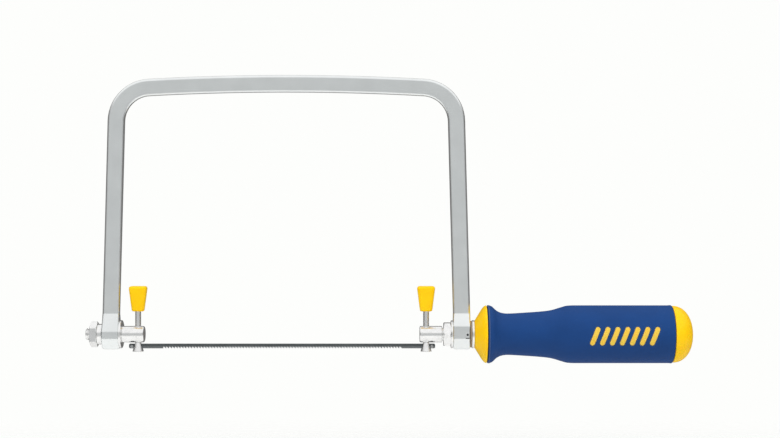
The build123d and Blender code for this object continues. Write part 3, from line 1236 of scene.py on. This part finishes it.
@dataclass
class Handle:
    """The handle: a hard yellow core with nose and dome, and a blue rubber grip."""

    bore_radius: float = 5.85
    face_radius: float = 7.3
    cone_radius: float = 14.1
    cone_length: float = 4.15
    flange_x: float = -74.2
    flange_radius: float = 16.0
    neck_radius: float = 9.0
    neck_end: float = -33.8
    palm_start: float = -27.8
    palm_radius: float = 12.9
    knots: tuple[Point, ...] = (
        (-71.5, 15.45), (-68.7, 13.05), (-66.2, 11.85), (-63.0, 11.4), (-53.0, 11.9),
        (-42.0, 12.75), (-38.2, 13.35), (-33.4, 14.75), (-29.6, 15.72),
    )
    full_x: float = -26.2
    grip_half: float = 27.8
    grip_radius: float = 15.9
    grip_lining: float = 13.2
    sleeve_radius: float = 9.4
    dome_radius: float = 15.6
    dome_fullness: float = 2.2
    joint: float = 0.4
    bar_count: int = 7
    bar_pitch: float = 5.4
    bar_size: Point = (11.1, 3.1)
    bar_lean: float = 68.0
    bar_gap: float = 0.25
    bar_sink: float = 0.2
    bar_depth: Point = (13.9, 20.0)
    bar_floor: float = 14.2
    bar_reach: float = 22.0
    segments: int = 192

    def build(self) -> None:
        """Build the core's two visible ends, the grip and the inlaid bars."""
        self.build_core()
        self.build_grip()
        self.build_bars()
        dress("handle_insert", TurnedPlate("insert_turned", (0.55, 0.55, 0.53), METAL, gloss=0.3))

    def build_core(self) -> None:
        """Turn the core: nose, neck under the rubber, dome and the insert's pocket."""
        front, back = span("handle_core")
        pocket = span("handle_insert")[1]
        steps = 28
        bore, neck, palm, half = self.bore_radius, self.neck_radius, self.palm_radius, self.grip_half
        profile = [(pocket, 0.0), (pocket, bore), (front + 0.3, bore)]
        profile += rounded([
            (front + 0.3, bore, 0),
            (front, bore + 0.3, 0.1),
            (front, self.face_radius, 0.5),
            (front + self.cone_length, self.cone_radius, 0.9),
            (self.flange_x - 1.05, self.flange_radius - 0.3, 1.4),
            (self.flange_x - 0.1, self.flange_radius - 0.1, self.joint),
            (self.flange_x, 15.0, 0.2),
            (self.flange_x, neck, 0),
        ], 8)[1:]
        profile += [(self.neck_end, neck), (self.palm_start, palm), (half - 0.1, palm)]
        start = half + self.joint
        profile += rounded([
            (half - 0.05, palm, 0),
            (half - 0.05, 14.8, 0.1),
            (half + 0.05, self.dome_radius - 0.12, self.joint),
            (start, self.dome_radius, 0.2),
            (start + 0.3, self.dome_radius, 0),
        ], 6)
        dome, power = back - start, 2 / self.dome_fullness
        for k in range(1, steps):
            angle = math.pi / 2 * (1 - k / steps)
            across = self.dome_radius * math.sin(angle) ** power
            if across < self.dome_radius - 0.02:
                profile.append((start + dome * math.cos(angle) ** power, across))
        profile.append((back, 0.0))
        core = lathe("core_moulding", profile, segments=self.segments)
        shade(core, 35.0)
        finish = Moulding("core_moulding", YELLOW, PLASTIC)
        adopt(core, "handle", "core_plastic", finish, "handle_core")

    def contour(self) -> list[Point]:
        """Draw a smooth curve through the knots of the grip's outside.

        Returns:
            Places and radii from the flange to the back of the palm.
        """
        flange = (self.flange_x + 0.9, self.flange_radius)
        knots = [flange, *self.knots, (self.full_x, self.grip_radius)]
        smooth = []
        for i in range(len(knots) - 1):
            p = [Vector(knots[max(0, min(len(knots) - 1, i + k))]) for k in (-1, 0, 1, 2)]
            m1, m2 = self.slope(p[0], p[1], p[2]), self.slope(p[1], p[2], p[3])
            width = p[2].x - p[1].x
            for k in range(8):
                t = k / 8
                h = (2 * t**3 - 3 * t**2 + 1, t**3 - 2 * t**2 + t, 3 * t**2 - 2 * t**3, t**3 - t**2)
                radius = h[0] * p[1].y + h[1] * width * m1 + h[2] * p[2].y + h[3] * width * m2
                smooth.append((p[1].x + width * t, radius))
        return smooth + [knots[-1]]

    @staticmethod
    def slope(before: Vector, here: Vector, after: Vector) -> float:
        """Work out the contour's slope at a knot, so that the curve doesn't overshoot.

        Args:
            before: The knot before it, or the knot itself at the contour's start.
            here: The knot.
            after: The knot after it, or the knot itself at the contour's end.

        Returns:
            The slope, which is 0 at both ends.
        """
        if before == here or here == after:
            return 0.0
        left = (here.y - before.y) / (here.x - before.x)
        right = (after.y - here.y) / (after.x - here.x)
        return 0.0 if left * right <= 0 else 2 * left * right / (left + right)

    def build_grip(self) -> None:
        """Turn the grip, with a lip at each end, and cut the windows for the bars."""
        start, end, lip = self.flange_x + 0.35, self.grip_half - 0.3, self.joint
        flange, palm = self.flange_radius, self.grip_radius
        profile = rounded([
            (start, self.sleeve_radius, 0),
            (start, flange - 0.05, lip),
            (start + lip + 0.3, flange, 0.2),
            (start + lip + 0.6, flange, 0),
        ])
        profile += self.contour()
        profile += rounded([
            (end - 2.0, palm, 0),
            (end - 1.2, palm + 0.02, 0.4),
            (end - 0.7, palm + 0.14, 0.3),
            (end, palm + 0.12, lip),
            (end, self.grip_lining, 0),
        ])
        profile.append((self.palm_start + 0.2, self.grip_lining))
        profile.append((self.neck_end + 0.3, self.sleeve_radius))
        grip = lathe("grip_overmould", profile, segments=self.segments, hollow=True)
        carve(grip, self.bar_cutter(0.0))
        shade(grip, 35.0)
        finish = Overmould("overmoulded_rubber", BLUE, RUBBER)
        adopt(grip, "handle", "grip_rubber", finish, "handle_grip")

    def bar_cutter(self, gap: float) -> bpy.types.Object:
        """Make all the bars, on both sides of the grip, as one cutter.

        Args:
            gap: How much smaller than their windows they are, all round.

        Returns:
            The cutter.
        """
        length, width = (size - 2 * gap for size in self.bar_size)
        outline = rounded_rectangle(length, width, width / 2 - 0.001, 10)
        lean = math.radians(self.bar_lean)
        cos, sin = math.cos(lean), math.sin(lean)
        near, far = self.bar_depth
        shape = bmesh.new()
        for i in range(self.bar_count):
            x = (i - (self.bar_count - 1) / 2) * self.bar_pitch
            ring = [(x + u * cos - v * sin, u * sin + v * cos) for u, v in outline]
            for rows in ((-far, -near), (near, far)):
                sew(shape, [[Vector((u, y, v)) for u, v in ring] for y in rows])
        return enter("bars", shape)

    def build_bars(self) -> None:
        """Fill the windows with bars of the core's plastic, a hair below the rubber."""
        inner, outer, reach = self.bar_floor, self.grip_radius - self.bar_sink, self.bar_reach
        profile = [(-reach, inner), (-reach, outer), (reach, outer), (reach, inner)]
        shell = lathe("inlaid_bars", profile, segments=self.segments, hollow=True)
        carve(shell, self.bar_cutter(self.bar_gap), "INTERSECT")
        shade(shell, 35.0)
        finish = Moulding("bar_moulding", (0.80, 0.54, 0.07), PLASTIC)
        adopt(shell, "handle", "core_plastic", finish)


# ---------------------------------------------------------------------------
# Washers, spacer and nuts
# ---------------------------------------------------------------------------


@dataclass
class Stack:
    """The washers, spacer and nuts on the axis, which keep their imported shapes."""

    plated: tuple[str, ...] = (
        "toe_inner_washer", "toe_spacer", "toe_nut",
        "heel_nut", "heel_inner_washer", "heel_outer_washer",
    )
    fibre: str = "heel_friction_washer"

    def dress(self) -> None:
        """Dress each of them."""
        for node in self.plated:
            dress(node, BRIGHT)
        dress(self.fibre, Fibre("pressed_fibre", (0.36, 0.27, 0.19)))


# ---------------------------------------------------------------------------
# Studio
# ---------------------------------------------------------------------------


@dataclass(frozen=True)
class Softbox:
    """One soft light: where it is, what it points at, its size and its power."""

    name: str
    place: Place
    aim: Place
    size: Point
    power: float

    def build(self) -> None:
        """Add the light to the scene."""
        lamp = bpy.data.lights.new(self.name, "AREA")
        lamp.shape = "RECTANGLE"
        lamp.size, lamp.size_y = self.size
        lamp.energy = self.power
        light = bpy.data.objects.new(self.name, lamp)
        light.location = self.place
        light.visible_glossy = False
        way = Vector(self.aim) - light.location
        light.rotation_euler = way.to_track_quat("-Z", "Y").to_euler()
        bpy.context.scene.collection.objects.link(light)


@dataclass
class Studio:
    """A pale floor, soft light from all round and the camera, in metres."""

    floor_z: float = -0.075
    table: tuple[float, float, float, float] = (-1.03, -0.34, 0.78, 0.22)
    fade: Point = (0.25, 1.0)
    view_width: float = 0.4302
    distance: float = 0.85
    nudge: Point = (0.0004, 0.0001)
    backdrop: Colour = (0.985, 0.99, 0.975)
    softboxes: tuple[Softbox, ...] = (
        Softbox("key", (-0.55, -0.75, 1.05), (-0.12, 0.0, 0.04), (1.5, 1.0), 8.2),
        Softbox("kicker", (0.1, -0.9, -0.02), (-0.05, 0.0, 0.02), (1.2, 0.12), 0.45),
        Softbox("fill", (0.75, -0.65, 0.75), (-0.05, 0.0, 0.03), (0.8, 0.8), 3.0),
    )

    def build(self) -> None:
        """Build the sky, the floor, the lights and the camera."""
        self.build_sky()
        self.build_floor()
        for box in self.softboxes:
            box.build()
        self.build_camera()
        bpy.context.scene.view_settings.view_transform = "Standard"
        log.info("studio: %d softboxes, camera at %.2f m", len(self.softboxes), self.distance)

    def build_sky(self) -> None:
        """Light the scene softly: a white ceiling toward the front and dimmer walls."""
        world = bpy.data.worlds.new("studio")
        world.use_nodes = True
        graph = Graph(world.node_tree)
        way = graph.node("ShaderNodeTexCoord", output=0)
        y, z = (graph.node("ShaderNodeSeparateXYZ", None, {0: way}, output=i) for i in (1, 2))
        front = (y * -1.0).rise(0.12, 0.96)
        walls = graph.blend((0.17, 0.165, 0.16), (0.57, 0.58, 0.58), front)
        ceiling = (z - graph.math("MAXIMUM", y, 0.0) * 0.5).rise(0.20, 0.50)
        room = graph.blend(walls, (1.01, 1.01, 1.01), ceiling)
        backdrop = graph.node("ShaderNodeLightPath", output=0)
        shown = graph.blend(room, self.backdrop, backdrop)
        shine = graph.node("ShaderNodeBackground", None, {"Color": shown, "Strength": 1.0})
        graph.node("ShaderNodeOutputWorld", None, {"Surface": shine})
        bpy.context.scene.world = world

    def build_floor(self) -> None:
        """Lay a pale table top under the saw, which fades out before its edges."""
        left, front, right, back = self.table
        middle = Vector(((left + right) / 2, (front + back) / 2, self.floor_z))
        corners = [(left, front), (right, front), (right, back), (left, back)]
        mesh = bpy.data.meshes.new("floor")
        mesh.from_pydata([(x, y, self.floor_z) for x, y in corners], [], [(0, 1, 2, 3)])
        floor = bpy.data.objects.new("floor", mesh)
        bpy.context.scene.collection.objects.link(floor)
        made = bpy.data.materials.new("pale_table")
        made.use_nodes = True
        graph = Graph(made.node_tree)
        tone = graph.noise(graph.position(), 0.004, 3.0)
        paint = graph.blend((0.83, 0.835, 0.825), (0.86, 0.86, 0.85), tone)
        glow = {"Emission Color": (1.0, 1.0, 1.0, 1.0), "Emission Strength": 0.04}
        reach = (MM / (right - left) * 2, MM / (back - front) * 2, 0.0)
        start = (middle.x * reach[0] / MM, middle.y * reach[1] / MM, 0.0)
        place = graph.vector("SUBTRACT", graph.position(reach), start)
        away = graph.vector("LENGTH", place, output=1).rise(*self.fade)
        inputs = {"Base Color": paint, "Roughness": 0.9, "Alpha": 1.0 - away, **glow}
        shader = graph.node("ShaderNodeBsdfPrincipled", None, inputs)
        graph.node("ShaderNodeOutputMaterial", None, {"Surface": shader})
        floor.data.materials.append(made)

    def build_camera(self) -> None:
        """Stand the camera square in front of the middle of the saw."""
        low, high = CAD_BOX
        aim = (low + high) / 2
        data = bpy.data.cameras.new("camera")
        data.sensor_width = 36.0
        data.lens = data.sensor_width * self.distance / self.view_width
        data.clip_start = 0.01
        camera = bpy.data.objects.new("camera", data)
        camera.location = (aim.x + self.nudge[0], -self.distance, aim.z + self.nudge[1])
        camera.rotation_euler = (math.radians(90), 0.0, 0.0)
        bpy.context.scene.collection.objects.link(camera)
        bpy.context.scene.camera = camera


def main() -> None:
    """Build the saw and its studio."""
    logging.basicConfig(level=logging.INFO, format="%(name)s %(message)s")
    Studio().build()
    Bow().build()
    for end in End:
        Lever(end).build()
    Blade().build()
    Handle().build()
    Stack().dress()


if __name__ == "__main__":
    main()
